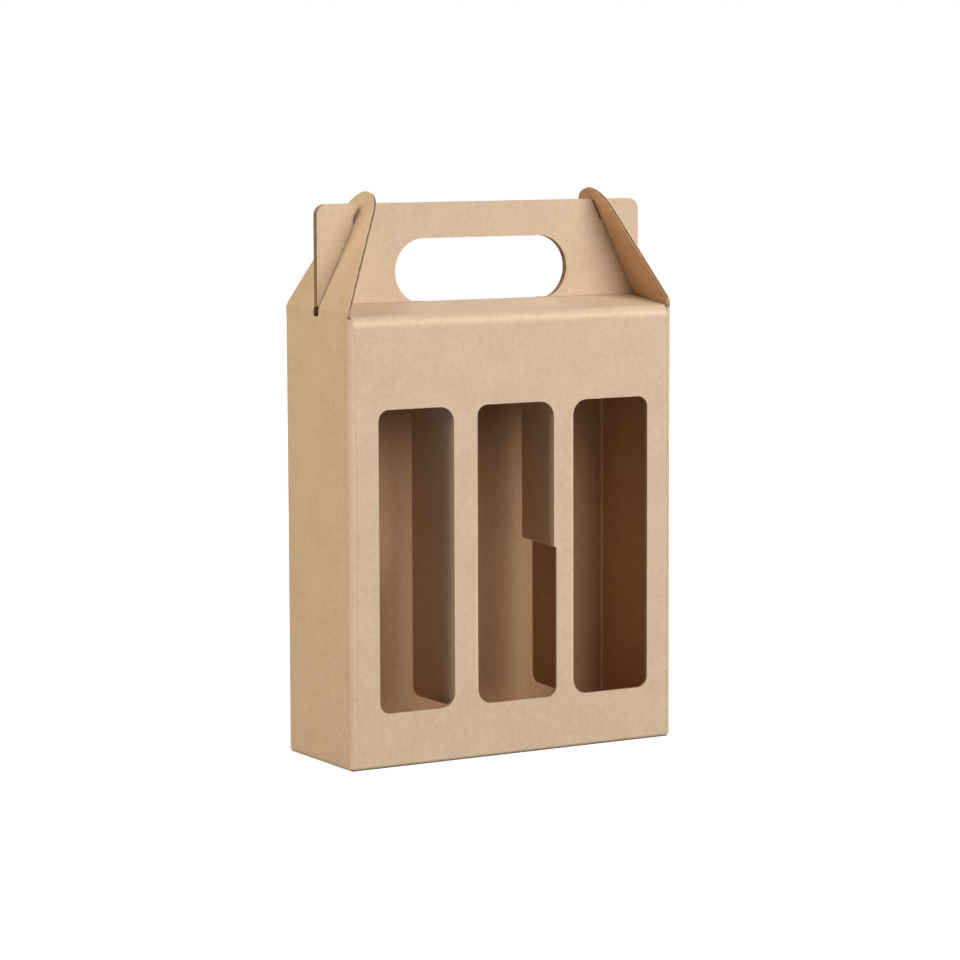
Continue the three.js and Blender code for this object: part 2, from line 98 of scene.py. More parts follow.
paper = bpy.data.node_groups.new("Paper", "ShaderNodeTree")
for name, direction, kind in (
    ("Place in mm", "INPUT", "Vector"), ("Pale", "INPUT", "Color"), ("Dark", "INPUT", "Color"),
    ("Colour", "OUTPUT", "Color"), ("Roughness", "OUTPUT", "Float"), ("Height", "OUTPUT", "Float"),
):
    paper.interface.new_socket(name, in_out=direction, socket_type="NodeSocket" + kind)
given = paper.nodes.new("NodeGroupInput").outputs
drawn_out = link(
    paper, "ShaderNodeVectorMath", {0: given[0], 1: FIBRE_DRAW}, operation="MULTIPLY"
).outputs[0]
clouds = noise(paper, given[0], CLOUDS_PER_MM, 3.0)
fibres = noise(paper, drawn_out, 1.0, 4.0, 0.65)
grain = noise(paper, given[0], GRAINS_PER_MM, 3.0)
flecks = noise(paper, drawn_out, FLECKS_PER_MM, 1.0)
shade = maths(paper, "MULTIPLY_ADD", clouds, CLOUDING, -CLOUDING / 2)
shade = maths(paper, "ADD", shade, fibres)
shade = maths(paper, "ADD", shade, maths(paper, "MULTIPLY_ADD", grain, GRAINING, -GRAINING / 2))
mixed = link(
    paper, "ShaderNodeMix", {0: shade, 6: given["Dark"], 7: given["Pale"]}, data_type="RGBA"
).outputs[2]
fleck = link(
    paper, "ShaderNodeMapRange", {"Value": flecks, "From Min": FLECK_FROM, "From Max": FLECK_FULL}
).outputs[0]
flecked = link(
    paper,
    "ShaderNodeMix",
    {0: maths(paper, "MULTIPLY", fleck, FLECK_SHADE), 6: mixed, 7: given["Dark"]},
    data_type="RGBA",
    blend_type="MULTIPLY",
).outputs[2]
given_back = paper.nodes.new("NodeGroupOutput").inputs
paper.links.new(flecked, given_back["Colour"])
paper.links.new(maths(paper, "MULTIPLY_ADD", fibres, 0.2, 0.76), given_back["Roughness"])
paper.links.new(fibres, given_back["Height"])


def paper_skin(tree, pale, dark):
    """The place on the sheet in mm, and the paper's colour, roughness and height there."""
    sheet_place = link(tree, "ShaderNodeUVMap", uv_map="sheet").outputs[0]
    in_mm = link(
        tree, "ShaderNodeVectorMath", {0: sheet_place, "Scale": 1 / MM}, operation="SCALE"
    ).outputs[0]
    colours = {"Place in mm": in_mm, "Pale": pale, "Dark": dark}
    return in_mm, link(tree, "ShaderNodeGroup", colours, node_tree=paper).outputs


liner = bpy.data.materials.new("kraft_liner")
liner.use_nodes = True
tree = liner.node_tree
shader = tree.nodes["Principled BSDF"]
shader.inputs["Specular IOR Level"].default_value = 0.25
in_mm, skin = paper_skin(tree, (0.72, 0.54, 0.376, 1), (0.6, 0.44, 0.293, 1))
across = link(tree, "ShaderNodeSeparateXYZ", {0: in_mm}).outputs[0]
wave = maths(tree, "SINE", maths(tree, "MULTIPLY", across, 2 * np.pi * MM / FLUTE))
# Paler band along bends, read per point: partly a stretching liner, partly a painted highlight.
stretched = link(tree, "ShaderNodeAttribute", attribute_name="stretched").outputs["Fac"]
streaks_and_highlight = maths(tree, "ADD", maths(tree, "MULTIPLY_ADD", wave, STREAK, 1.0), stretched)
streaked_and_highlighted = link(
    tree, "ShaderNodeVectorMath", {0: skin["Colour"], "Scale": streaks_and_highlight}, operation="SCALE"
).outputs[0]
height = maths(tree, "MULTIPLY_ADD", wave, FLUTE_SHOW, skin["Height"])
relief = {"Strength": 0.35, "Distance": PAPER_TOOTH, "Height": height}
tree.links.new(streaked_and_highlighted, shader.inputs["Base Color"])
tree.links.new(skin["Roughness"], shader.inputs["Roughness"])
tree.links.new(link(tree, "ShaderNodeBump", relief).outputs[0], shader.inputs["Normal"])


# Inner liner: the paper on the inside of the box. It is a browner, cheaper grade of the same
# kraft, glued to the other side of the flutes, and it has the same grain and finish.
inner_liner = liner.copy()
inner_liner.name = "inner_liner"
shades = next(node for node in inner_liner.node_tree.nodes if node.type == "GROUP").inputs
shades["Pale"].default_value = (0.535, 0.318, 0.173, 1)
shades["Dark"].default_value = (0.452, 0.262, 0.138, 1)


# Fluted paper: the waved middle layer of the board, of recycled pulp. It shows only in cut edges,
# where it lies in the shade between the two liners.
core = bpy.data.materials.new("fluted_paper")
core.use_nodes = True
tree = core.node_tree
shader = tree.nodes["Principled BSDF"]
shader.inputs["Specular IOR Level"].default_value = 0.2
_, skin = paper_skin(tree, (0.5, 0.35, 0.225, 1), (0.36, 0.25, 0.155, 1))
tree.links.new(skin["Colour"], shader.inputs["Base Color"])
tree.links.new(skin["Roughness"], shader.inputs["Roughness"])


# Front panel: the wall with three windows, die-cut from single-wall board. It runs on over creases
# into the sides, the roof, the bottom and the four dividers, and every other rim is a raw cut.
BOARD = 1.8 * MM
LINER = 0.42 * MM
MEDIUM = 0.22 * MM
RAW_DEPTH = 0.7 * MM
RAW_TIP = 0.1 * MM
HALF_WIDTH = abs(joints["left_ear_fold"]["pos_m"][0])
HALF_DEPTH = abs(joints["front_roof_fold"]["pos_m"][1])
HEIGHT = joints["front_roof_fold"]["pos_m"][2]
SILL = 28.9 * MM
HEAD = 190.9 * MM
FIRST_WIDTH, LAST_WIDTH = 45.9 * MM, 48 * MM
WINDOW_ROUND = 6 * MM
FOLD_ROUND = 8.4 * MM
HALVES_CUT = 111 * MM
HALVES_STEP = 1.5 * MM
HALVES_ROUND = 1.2 * MM
CUT = 0.5 * MM
CREASE_INSET = 1.3 * MM
CREASE_SETBACK = 9 * MM
CORNER_FLAT = 6 * MM
NARROW_FLAT = 2.8 * MM
ROOF_FLAT = 9 * MM
DIVIDER_FLAT = 4 * MM
INNER_GRAIN = np.array([1.0, 0.0])
WELD = 0.001 * MM
ROW_STEP = 8 * MM
SLIVER = 1e-12
SHARP_EDGE = 35
OUTER, RAW, INNER = 0, 1, 2


def in_space(panel, a, b, n):
    """Points on a folded panel: the panel's 4 x 4 matrix times the place (a, b, n) on the sheet."""
    a, b, n = np.broadcast_arrays(a, b, n)
    return np.stack([a, b, n, np.ones_like(a)], -1) @ panel[:3].T


def folded(panel, hinge, axis, degrees):
    """The matrix of the panel across a fold: this one's, turned about the hinge line."""
    hinge = Vector(hinge)
    turn = Matrix.Rotation(np.radians(degrees), 4, axis)
    return np.array(Matrix.Translation(hinge) @ turn @ Matrix.Translation(-hinge)) @ panel


def outline(*corners, points=9):
    """Path through corners (a, b, radius), each cut by the arc that touches its two sides."""
    path = [np.array([corners[0][:2]], float)]
    for before, here, after in zip(corners, corners[1:], corners[2:]):
        spot = np.array(here[:2], float)
        back, ahead = (np.array(other[:2]) - spot for other in (before, after))
        back, ahead = back / np.linalg.norm(back), ahead / np.linalg.norm(ahead)
        radius = here[2] if len(here) > 2 else 0
        if radius == 0:
            path.append(spot[None])
            continue
        half = np.arccos(np.clip(back @ ahead, -1, 1)) / 2
        middle = (back + ahead) / np.linalg.norm(back + ahead)
        centre = spot + middle * radius / np.sin(half)
        sweep = np.linspace(half - np.pi / 2, np.pi / 2 - half, points)[:, None]
        side = np.array([-middle[1], middle[0]])
        side = side * np.sign(ahead @ side)
        path.append(centre - radius * (np.cos(sweep) * middle - np.sin(sweep) * side))
    path.append(np.array([corners[-1][:2]], float))
    path = np.vstack(path)
    apart = np.linalg.norm(np.diff(path, axis=0), axis=1) > WELD / 10
    return path[np.concatenate([[True], apart])]


def spaced(path):
    """The path with points between, so that no step crosses more than a tenth of a flute."""
    step = np.diff(path, axis=0)
    count = np.maximum(abs(step[:, 0]) / (FLUTE / 10), abs(step[:, 1]) / ROW_STEP)
    count = np.ceil(count).astype(int).clip(1)
    run = np.concatenate([np.arange(number) / number for number in count])[:, None]
    between = np.repeat(path[:-1], count, 0) + run * np.repeat(step, count, 0)
    return np.vstack([between, path[-1:]])


def on(panel, lift=None):
    """The function that puts a place of the sheet on a panel. lift(a, b) bends it off its plane."""
    if lift is None:
        return lambda a, b, n: in_space(panel, a, b, n)
    return lambda a, b, n: in_space(panel, a, b, n + lift(a, b))


def skins(place, a, low, high, rows=1):
    """Both faces of a stretch of board: at each a, the faces run from the low edge to the high."""
    share = np.linspace(0, 1, rows + 1)[:, None]
    a = np.atleast_1d(a)
    b = (1 - share) * (low + 0 * a) + share * (high + 0 * a)
    a = np.broadcast_to(a, b.shape)
    spots = np.stack([a, b], -1)
    outer = place(a, b, BOARD)
    inner = place(a, b, 0.0)
    return [(outer, spots, OUTER), (inner[:, ::-1], spots[:, ::-1] + INNER_GRAIN, INNER)]


def carried(place, path, outward, height, kind):
    """A profile carried along a path that has the board on its left: its points lie at the given
    distances outward from the path and at the given heights above the inner face."""
    step = np.diff(path, axis=0)
    step /= np.linalg.norm(step, axis=1, keepdims=True)
    before, after = np.vstack([step[:1], step]), np.vstack([step, step[-1:]])
    right = np.stack([before[:, 1] + after[:, 1], -before[:, 0] - after[:, 0]], 1)
    right /= (1 + np.sum(before * after, axis=1, keepdims=True)).clip(0.3)
    spots = path + np.asarray(outward)[:, None, None] * right
    height = np.broadcast_to(np.asarray(height), spots.shape[:2])
    return (place(spots[..., 0], spots[..., 1], height), spots, kind)


def raw_edge(place, path):
    """Cut edge of the board: both liners end flush, and the waved middle stands between them."""
    path = spaced(path)
    ends = np.array([[0], [LINER], [BOARD - LINER], [BOARD]])
    sway = (BOARD / 2 - LINER - MEDIUM / 2) * np.sin(2 * np.pi * path[:, 0] / FLUTE)
    half = MEDIUM / 2
    ribbon = BOARD / 2 + sway + np.array([[-half], [-half], [half], [half], [-half]])
    return [
        carried(place, path, [0, 0], ends[:2], INNER),
        carried(place, path, [0, -RAW_DEPTH, -RAW_DEPTH, 0], ends[[1, 1, 2, 2]], RAW),
        carried(place, path, [0, 0], ends[2:], OUTER),
        carried(place, path, [-RAW_DEPTH, -RAW_TIP, -RAW_TIP, -RAW_DEPTH, -RAW_DEPTH], ribbon, RAW),
    ]


def joined_edge(place, path):
    """The end of a board at a crease, closed by a plain wall that the crease's own end covers."""
    return [carried(place, outline(*path), [0, 0], np.array([[0], [BOARD]]), RAW)]


def piece(name, stretches):
    """A mesh of quads through grids of points. Each stretch is welded on its own and holds patches
    of points[row, column], their places on the sheet, the paper's number and, on a bend, how much
    paler its liner is, which is partly a stretching liner and partly a painted highlight. The faces
    look where column x row points."""
    points, places, quads, kinds, owner, pale, first = [], [], [], [], [], [], 0
    for number, patches in enumerate(stretches):
        for grid, spots, kind, *stretched in patches:
            rows, columns = grid.shape[:2]
            spot = first + np.arange(rows * columns).reshape(rows, columns)
            quad = np.stack([spot[:-1, :-1], spot[:-1, 1:], spot[1:, 1:], spot[1:, :-1]], -1)
            points.append(grid.reshape(-1, 3))
            places.append(spots.reshape(-1, 2))
            quads.append(quad.reshape(-1, 4))
            kinds.append(np.full(len(quads[-1]), kind))
            owner.append(np.full(rows * columns, number))
            pale.append(stretched[0].ravel() if stretched else np.zeros(rows * columns))
            first += rows * columns
    lists = (points, places, quads, kinds, owner, pale)
    points, places, quads, kinds, owner, pale = map(np.concatenate, lists)
    corner = points[quads]
    across, along = corner[:, 2] - corner[:, 0], corner[:, 3] - corner[:, 1]
    whole = np.linalg.norm(np.cross(across, along), axis=1) > SLIVER
    quads, kinds = quads[whole], kinds[whole]
    spot = np.column_stack([np.round(points / WELD), owner])
    _, kept, welded = np.unique(spot, axis=0, return_index=True, return_inverse=True)
    mesh = bpy.data.meshes.new(name)
    mesh.from_pydata(points[kept].tolist(), [], welded.ravel()[quads].tolist())
    mesh.uv_layers.new(name="sheet").data.foreach_set("uv", places[quads.ravel()].ravel())
    mesh.attributes.new("stretched", "FLOAT", "POINT").data.foreach_set("value", pale[kept])
    mesh.polygons.foreach_set("material_index", kinds)
    mesh.polygons.foreach_set("use_smooth", np.ones(len(quads), bool))
    for paper_kind in (liner, core, inner_liner):
        mesh.materials.append(paper_kind)
    mesh.set_sharp_from_angle(angle=np.radians(SHARP_EDGE))
    made = bpy.data.objects.new(name, mesh)
    bpy.context.scene.collection.objects.link(made)
    return made


def board(node, body, stretches):
    """A panel that stands for its CAD node and moves with its body."""
    made = piece(node + "_board", stretches)
    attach(made, body)
    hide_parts(node)
    return made


front = np.array(
    [[1, 0, 0, 0], [0, 0, -1, BOARD - HALF_DEPTH], [0, 1, 0, 0], [0, 0, 0, 1]], float
)
front_place = on(front)
first_fold, upper_fold, lower_fold, last_fold = (
    joints[name + "_divider_fold"]["pos_m"][0]
    for name in ("left", "centre_upper", "centre_lower", "right")
)
lefts = [first_fold + CREASE_INSET - FIRST_WIDTH, lower_fold, last_fold]
rights = [first_fold + CREASE_INSET, upper_fold + CREASE_INSET, last_fold + LAST_WIDTH]
low_right = rights[1] + HALVES_STEP
joined_low, joined_high = SILL + CREASE_SETBACK, HEAD - CREASE_SETBACK
under_cut, over_cut = HALVES_CUT - CUT / 2, HALVES_CUT + CUT / 2
wall_low, wall_high = NARROW_FLAT, HEIGHT - ROOF_FLAT
edge = HALF_WIDTH - CORNER_FLAT


def cut_end(level, join, left, right, left_round, right_round):
    """The end of a window or slot at that level, from left to right, with its sides up to join."""
    return outline(
        (left, join), (left, level, left_round), (right, level, right_round), (right, join)
    )


sills = [cut_end(SILL, joined_low, *sides) for sides in (
    (lefts[0], rights[0], WINDOW_ROUND, FOLD_ROUND),
    (lefts[1], low_right, FOLD_ROUND, WINDOW_ROUND),
    (lefts[2], rights[2], FOLD_ROUND, WINDOW_ROUND),
)]
heads = [cut_end(HEAD, joined_high, *sides) for sides in (
    (lefts[0], rights[0], WINDOW_ROUND, FOLD_ROUND),
    (lefts[1], rights[1], WINDOW_ROUND, FOLD_ROUND),
    (lefts[2], rights[2], FOLD_ROUND, WINDOW_ROUND),
)]
halves_corner = outline(
    (low_right - HALVES_ROUND, over_cut), (low_right, over_cut, HALVES_ROUND),
    (low_right, over_cut - 2 * HALVES_ROUND),
)
first_edge, upper_edge = first_fold + DIVIDER_FLAT, upper_fold + DIVIDER_FLAT
lower_edge, last_edge = lower_fold - DIVIDER_FLAT, last_fold - DIVIDER_FLAT
wall = [skins(front_place, span, wall_low, wall_high) for span in (
    (-edge, lefts[0]), (first_edge, lower_edge), (upper_edge, last_edge), (rights[2], edge),
)]
wall += [skins(front_place, path[:, 0], wall_low, path[:, 1]) for path in sills]
wall += [skins(front_place, path[:, 0], path[:, 1], wall_high) for path in heads]
for low, high, bottom, top in (
    (rights[0], first_edge, wall_low, joined_low), (rights[0], first_edge, joined_high, wall_high),
    (lower_edge, lefts[1], wall_low, joined_low), (lower_edge, lefts[1], under_cut, wall_high),
    (low_right, upper_edge, wall_low, over_cut), (rights[1], upper_edge, joined_high, wall_high),
    (last_edge, lefts[2], wall_low, joined_low), (last_edge, lefts[2], joined_high, wall_high),
):
    wall.append(skins(front_place, [low, high], bottom, top))
wall.append(skins(front_place, halves_corner[:, 0], halves_corner[:, 1], over_cut))
wall.append(raw_edge(front_place, np.vstack([sills[0][::-1], heads[0]])))
wall.append(raw_edge(front_place, np.vstack([halves_corner, sills[1][::-1]])))
wall.append(raw_edge(front_place, np.vstack([[[lefts[1], under_cut]], heads[1]])))
wall.append(raw_edge(front_place, np.vstack([heads[2], sills[2][::-1]])))


def three_sides(near, far, start, end):
    """Corners of a rim that runs from near out to far at start, along, and back to near at end."""
    return [(near, start), (far, start), (far, end), (near, end)]


for rim in (
    three_sides(rights[0], first_edge, joined_high, joined_low),
    three_sides(rights[1], upper_edge, joined_high, over_cut)[:3]
    + [(low_right - HALVES_ROUND, over_cut)],
    three_sides(lefts[1], lower_edge, joined_low, under_cut),
    three_sides(lefts[2], last_edge, joined_low, joined_high),
    three_sides(-edge, edge, wall_low, wall_high) + [(-edge, wall_low)],
):
    wall.append(joined_edge(front_place, rim))
board("front_panel", "body", wall)


# Side panels: the narrow end walls. Each has a low wing at both ends of its top, where the ear is
# hinged, and the foot of the ear's slot is cut into its top edge.
SHOULDER = 239.2 * MM
EAR_FOLD = joints["left_ear_fold"]["pos_m"][2]
EAR_FLAT = 2 * MM
EAR_HALF = 34.5 * MM
SLOT_HALF = 2.8 * MM
SLOT_FOOT = 239 * MM
SLOT_ROUND = 1.5 * MM
GLUE_GAP = 0.3 * MM
GLUE_LOW, GLUE_HIGH = 7 * MM, 233 * MM
CORNER_FOOT = 0.9 * MM
SIDE_CREASE_HALF, WIDE_CREASE_HALF = 33.2 * MM, 98.2 * MM
left = folded(front, (-HALF_WIDTH, -HALF_DEPTH, 0), "Z", -90)
right = folded(front, (HALF_WIDTH, -HALF_DEPTH, 0), "Z", 90)
side_middle = HALF_WIDTH + HALF_DEPTH
side_edge = HALF_DEPTH - CORNER_FLAT
seam_fold = HALF_WIDTH + 2 * HALF_DEPTH - BOARD - GLUE_GAP
side_top = EAR_FOLD - EAR_FLAT


def side_wall(panel, middle, low_edge, high_edge):
    """Both faces and all rims of an end wall between its two corner creases."""
    place = on(panel)
    low_wing, high_wing = middle - EAR_HALF, middle + EAR_HALF
    slot_low, slot_high = middle - SLOT_HALF, middle + SLOT_HALF
    slot = cut_end(SLOT_FOOT, side_top, slot_low, slot_high, SLOT_ROUND, SLOT_ROUND)
    wall = [skins(place, slot[:, 0], wall_low, slot[:, 1])]
    for low, high in ((low_edge, slot_low), (slot_high, high_edge)):
        wall.append(skins(place, [low, high], wall_low, side_top))
    for low, high in ((low_wing, low_edge), (high_edge, high_wing)):
        wall.append(skins(place, [low, high], SHOULDER, side_top))
    wall.append(raw_edge(place, slot[::-1]))
    for rim in (
        [(low_wing, side_top), (low_wing, SHOULDER), (low_edge, SHOULDER)],
        [(high_edge, SHOULDER), (high_wing, SHOULDER), (high_wing, side_top)],
    ):
        wall.append(raw_edge(place, outline(*rim)))
    for rim in (
        [(low_edge, SHOULDER), (low_edge, wall_low), (high_edge, wall_low), (high_edge, SHOULDER)],
        [(high_wing, side_top), (slot_high, side_top)],
        [(slot_low, side_top), (low_wing, side_top)],
    ):
        wall.append(joined_edge(place, rim))
    return wall


wall = side_wall(left, -side_middle, -side_middle - side_edge, -side_middle + side_edge)
board("left_side_panel", "body", wall)
seam_edge = seam_fold - CORNER_FLAT
place = on(right)
wall = side_wall(right, side_middle, side_middle - side_edge, seam_edge)
for low, high in ((wall_low, GLUE_LOW), (GLUE_HIGH, SHOULDER)):
    wall.append(skins(place, [seam_edge, seam_fold], low, high))
    wall.append(raw_edge(place, outline((seam_fold, low), (seam_fold, high))))
    wall.append(joined_edge(place, [(seam_edge, low), (seam_fold, low)]))
    wall.append(joined_edge(place, [(seam_fold, high), (seam_edge, high)]))
foot_start = side_middle + SIDE_CREASE_HALF
wall.append(skins(place, [foot_start, seam_fold], CORNER_FOOT, wall_low))
rim = [(foot_start, CORNER_FOOT), (seam_fold, CORNER_FOOT), (seam_fold, wall_low)]
wall.append(joined_edge(place, rim))
board("right_side_panel", "body", wall)


# Back panel: a plain wall, die-cut with the rest. Its free end laps over the glue flap and is glued
# to it, so that end is a raw cut, with a short strip above and below that closes the corner.
back_fold = -HALF_WIDTH - 2 * HALF_DEPTH
back_end = back_fold - 2 * HALF_WIDTH
back_middle = back_fold - HALF_WIDTH
back_edge = back_fold - CORNER_FLAT
back = folded(left, (-HALF_WIDTH, HALF_DEPTH, 0), "Z", -90)
place = on(back)
foot_end = back_middle - WIDE_CREASE_HALF
board("back_panel", "body", [
    skins(place, [back_end, back_edge], wall_low, wall_high),
    skins(place, [back_end, foot_end], CORNER_FOOT, wall_low),
    joined_edge(place, [
        (back_end, wall_low), (back_end, CORNER_FOOT),
        (foot_end, CORNER_FOOT), (foot_end, wall_low),
    ]),
    skins(place, [back_end, foot_end], wall_high, SHOULDER),
    joined_edge(place, [
        (foot_end, wall_high), (foot_end, SHOULDER), (back_end, SHOULDER), (back_end, wall_high),
    ]),
    raw_edge(place, outline((back_end, wall_high), (back_end, wall_low))),
    joined_edge(place, three_sides(back_end, back_edge, wall_low, wall_high)),
])


# Glue flap: the strip that closes the sheet to a tube. It is glued inside the back panel, and its
# ends are cut at a slant so that they don't catch.
GLUE_REACH = 28 * MM
GLUE_TAPER = 6 * MM
GLUE_FLAT = 4 * MM
glue = folded(right, (HALF_WIDTH, HALF_DEPTH - BOARD - GLUE_GAP, 0), "Z", 90)
place = on(glue)
glue_edge, glue_end = seam_fold + GLUE_FLAT, seam_fold + GLUE_REACH
slant = GLUE_TAPER * GLUE_FLAT / GLUE_REACH
low = np.array([GLUE_LOW + slant, GLUE_LOW + GLUE_TAPER])
high = np.array([GLUE_HIGH - slant, GLUE_HIGH - GLUE_TAPER])
board("glue_flap", "body", [
    skins(place, [glue_edge, glue_end], low, high),
    raw_edge(place, outline(
        (glue_edge, low[0]), (glue_end, low[1]), (glue_end, high[1]), (glue_edge, high[0]),
    )),
    joined_edge(place, [(glue_edge, high[0]), (glue_edge, low[0])]),
])


# Seam glue: a strip of pale dried glue between the glue flap and the back panel. It is laid on wet
# and pressed, so it is blotched, smooth in some places and dull in others.
GLUE_PALE, GLUE_DARK = (0.85, 0.82, 0.72, 1), (0.74, 0.7, 0.58, 1)
BLOTS_PER_MM = 0.3
dried_glue = bpy.data.materials.new("dried_glue")
dried_glue.use_nodes = True
tree = dried_glue.node_tree
shader = tree.nodes["Principled BSDF"]
blots = noise(tree, link(tree, "ShaderNodeTexCoord").outputs["Object"], BLOTS_PER_MM / MM)
shades = {0: blots, 6: GLUE_PALE, 7: GLUE_DARK}
blotched = link(tree, "ShaderNodeMix", shades, data_type="RGBA").outputs[2]
tree.links.new(blotched, shader.inputs["Base Color"])
tree.links.new(maths(tree, "MULTIPLY_ADD", blots, 0.3, 0.3), shader.inputs["Roughness"])
glue_materials = frame["nodes"]["seam_glue"].data.materials
glue_materials.clear()
glue_materials.append(dried_glue)


# Corner creases: the sheet is pressed by a rule and bent square from wall to wall. Outside, the
# liner stretches to a round with a shallow furrow on either side, and inside it bulges to a bead.
CORNER_HOLLOW = 0.8 * MM
BEAD, SEAM_BEAD = 0.45 * MM, 1.7 * MM
FURROW = 0.3 * MM
FURROW_AWAY = 1.0 * MM
FURROW_WIDTH = 0.8 * MM
# Width of the paler band on a bend: partly a stretching liner, partly a painted highlight.
PALE_HIGHLIGHT_WIDTH = 0.8 * MM


def bend_steps(low_flat, high_flat, reach):
    """Distances from a crease's line at which its faces have points, closest on the bend itself."""
    share = np.linspace(0, 1, 13)
    before = -low_flat + share[:-1] * (low_flat - reach)
    after = reach + share[1:] * (high_flat - reach)
    return np.hstack([before, reach * np.linspace(-1, 1, 21) + 0 * low_flat, after])


def bend_reach(angle, hollow=0.0):
    """How far a bend runs to either side of its line: (board + hollow) times tan(angle / 2)."""
    return (BOARD + hollow) * np.tan(angle / 2)


def crease(
    low_panel, high_panel, line, upright, along, low_flat, high_flat,
    hollow=0.0, crest=0.0, bead=BEAD, bead_kind=INNER, furrow=0.0, drift=None,
    pale=0.0, pale_at=0.0, pale_width=PALE_HIGHLIGHT_WIDTH,
):
    """Both faces of a bend and the walls at its ends. line is where it lies on the sheet, upright
    tells whether along holds b or a, and the flats are how far it runs on to either panel. The
    bend is an arc whose inner radius is hollow. Where there is a crest, a point is moved on by
    that share of its way to the faces' sharp corner, and drift(across) moves the whole board. The
    outer liner is paler by the share pale, in a bell curve over its width: partly a stretching
    liner, and partly a painted highlight along the crease."""
    side = low_panel[:3, 0 if upright else 1]
    normal = low_panel[:3, 2]
    hollow_in = high_panel[:3, 2] @ side > 0
    angle = np.arccos(np.clip(normal @ high_panel[:3, 2], -1, 1))
    reach = bend_reach(angle, hollow)
    along = np.atleast_2d(np.asarray(along, float).T).T
    low_flat, high_flat = (
        np.broadcast_to(flat, len(along)).reshape(-1, 1) for flat in (low_flat, high_flat)
    )
    across = bend_steps(low_flat, high_flat, reach)
    along = along + 0 * across
    left_over = np.where(across < 0, low_flat, high_flat) - abs(across)
    bulge = bead * np.exp(-((across / (2 * bead)) ** 2))
    dip = furrow * np.exp(-(((abs(across) - reach - FURROW_AWAY) / FURROW_WIDTH) ** 2))
    dip = dip * np.clip(left_over / FURROW_WIDTH, 0, 1)
    # Paler band on the outer liner: partly a stretching liner, partly a painted highlight.
    stretched = pale * np.exp(-(((across - pale_at) / pale_width) ** 2))

    def layer(depth):
        """One face of the bend, at that depth from its hollow side."""
        height = depth if hollow_in else BOARD - depth
        a, b = (line + across, along) if upright else (along, line + across)
        start = line - reach + 0 * across
        middle = (start, along) if upright else (along, start)
        centre = in_space(low_panel, *middle, -hollow if hollow_in else BOARD + hollow)
        turn = (angle * (across / reach + 1) / 2)[..., None]
        spoke = np.cos(turn) * normal * (1 if hollow_in else -1) + np.sin(turn) * side
        sharp = 1 / np.maximum(np.cos(turn), np.cos(angle - turn)).clip(0.1)
        bent = centre + (hollow + depth)[..., None] * (1 + crest * (sharp - 1)) * spoke
        before, after = (across <= -reach)[..., None], (across >= reach)[..., None]
        flat = np.where(
            before, in_space(low_panel, a, b, height), in_space(high_panel, a, b, height)
        )
        moved = 0.0 if drift is None else drift(across)
        return np.where(before | after, flat, bent) + moved

    round_side, hollow_side = layer(BOARD - dip), layer(-bulge)
    outer, inner = (round_side, hollow_side) if hollow_in else (hollow_side, round_side)
    spots = np.stack([line + across, along] if upright else [along, line + across], -1)
    if not upright:
        grids = (outer, inner, spots, stretched)
        outer, inner, spots, stretched = (grid.swapaxes(0, 1) for grid in grids)

    def round_rim(grid):
        """The points on the rim of a grid, once round and back to the first."""
        return np.concatenate([grid[0, :-1], grid[:-1, -1], grid[-1, :0:-1], grid[::-1, 0]])

    rim_in, rim_out, rim_spots = round_rim(inner), round_rim(outer), round_rim(spots)
    layers = np.array([0, LINER / BOARD, 1 - LINER / BOARD, 1])[:, None, None]
    rim = rim_in + layers * (rim_out - rim_in)
    rim_spots = np.broadcast_to(rim_spots, rim.shape[:2] + (2,))
    faces = [(inner[:, ::-1], spots[:, ::-1] + INNER_GRAIN, INNER)]
    if bead_kind != INNER:
        on_bead = np.flatnonzero(abs(across[0]) <= 2 * bead)
        low, high = on_bead[0], on_bead[-1]
        runs = ((0, low, INNER), (low, high, bead_kind), (high, across.shape[1] - 1, INNER))
        faces = []
        for first, last, kind in runs:
            run = slice(first, last + 1)
            faces.append((inner[:, run][:, ::-1], spots[:, run][:, ::-1] + INNER_GRAIN, kind))
    walls = []
    for number, kind in enumerate((INNER, RAW, OUTER)):
        walls.append((rim[number : number + 2], rim_spots[number : number + 2], kind))
    return [[(outer, spots, OUTER, stretched)], faces, walls]


steps = [CORNER_FOOT, wall_low, wall_low, wall_high, wall_high, SHOULDER]
narrow_wide = np.repeat([NARROW_FLAT, CORNER_FLAT, NARROW_FLAT], 2)
wide_above = np.repeat([NARROW_FLAT, CORNER_FLAT, CORNER_FLAT], 2)
for name, low_panel, high_panel, line, low_flat, high_flat in (
    ("front_left", left, front, -HALF_WIDTH, wide_above, narrow_wide),
    ("front_right", front, right, HALF_WIDTH, narrow_wide, wide_above),
    ("back_left", back, left, back_fold, narrow_wide, wide_above),
):
    bend = crease(
        low_panel, high_panel, line, True, steps, low_flat, high_flat,
        hollow=CORNER_HOLLOW, furrow=FURROW,
    )
    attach(piece(name + "_corner", bend), "body")
seam_ends = [GLUE_LOW, GLUE_HIGH]
seam = crease(
    right, glue, seam_fold, True, seam_ends, CORNER_FLAT, GLUE_FLAT, bead=SEAM_BEAD, bead_kind=OUTER
)
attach(piece("seam_corner", seam), "body")


def hinge(name, parts, low_body, high_body, low_panel, high_panel, line, upright, middle, reach):
    """A crease's piece between two panels, baked where it lies; low_body and high_body are not
    used, so it bends with neither body.
    """
    made = piece(name, parts)
    spots = [(line - reach, middle), (line + reach, middle)]
    if not upright:
        spots = [spot[::-1] for spot in spots]
    round_face = BOARD if high_panel[:3, 2] @ low_panel[:3, 0 if upright else 1] > 0 else 0.0
    start = in_space(low_panel, *spots[0], round_face)
    end = in_space(high_panel, *spots[1], round_face)
    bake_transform(made)


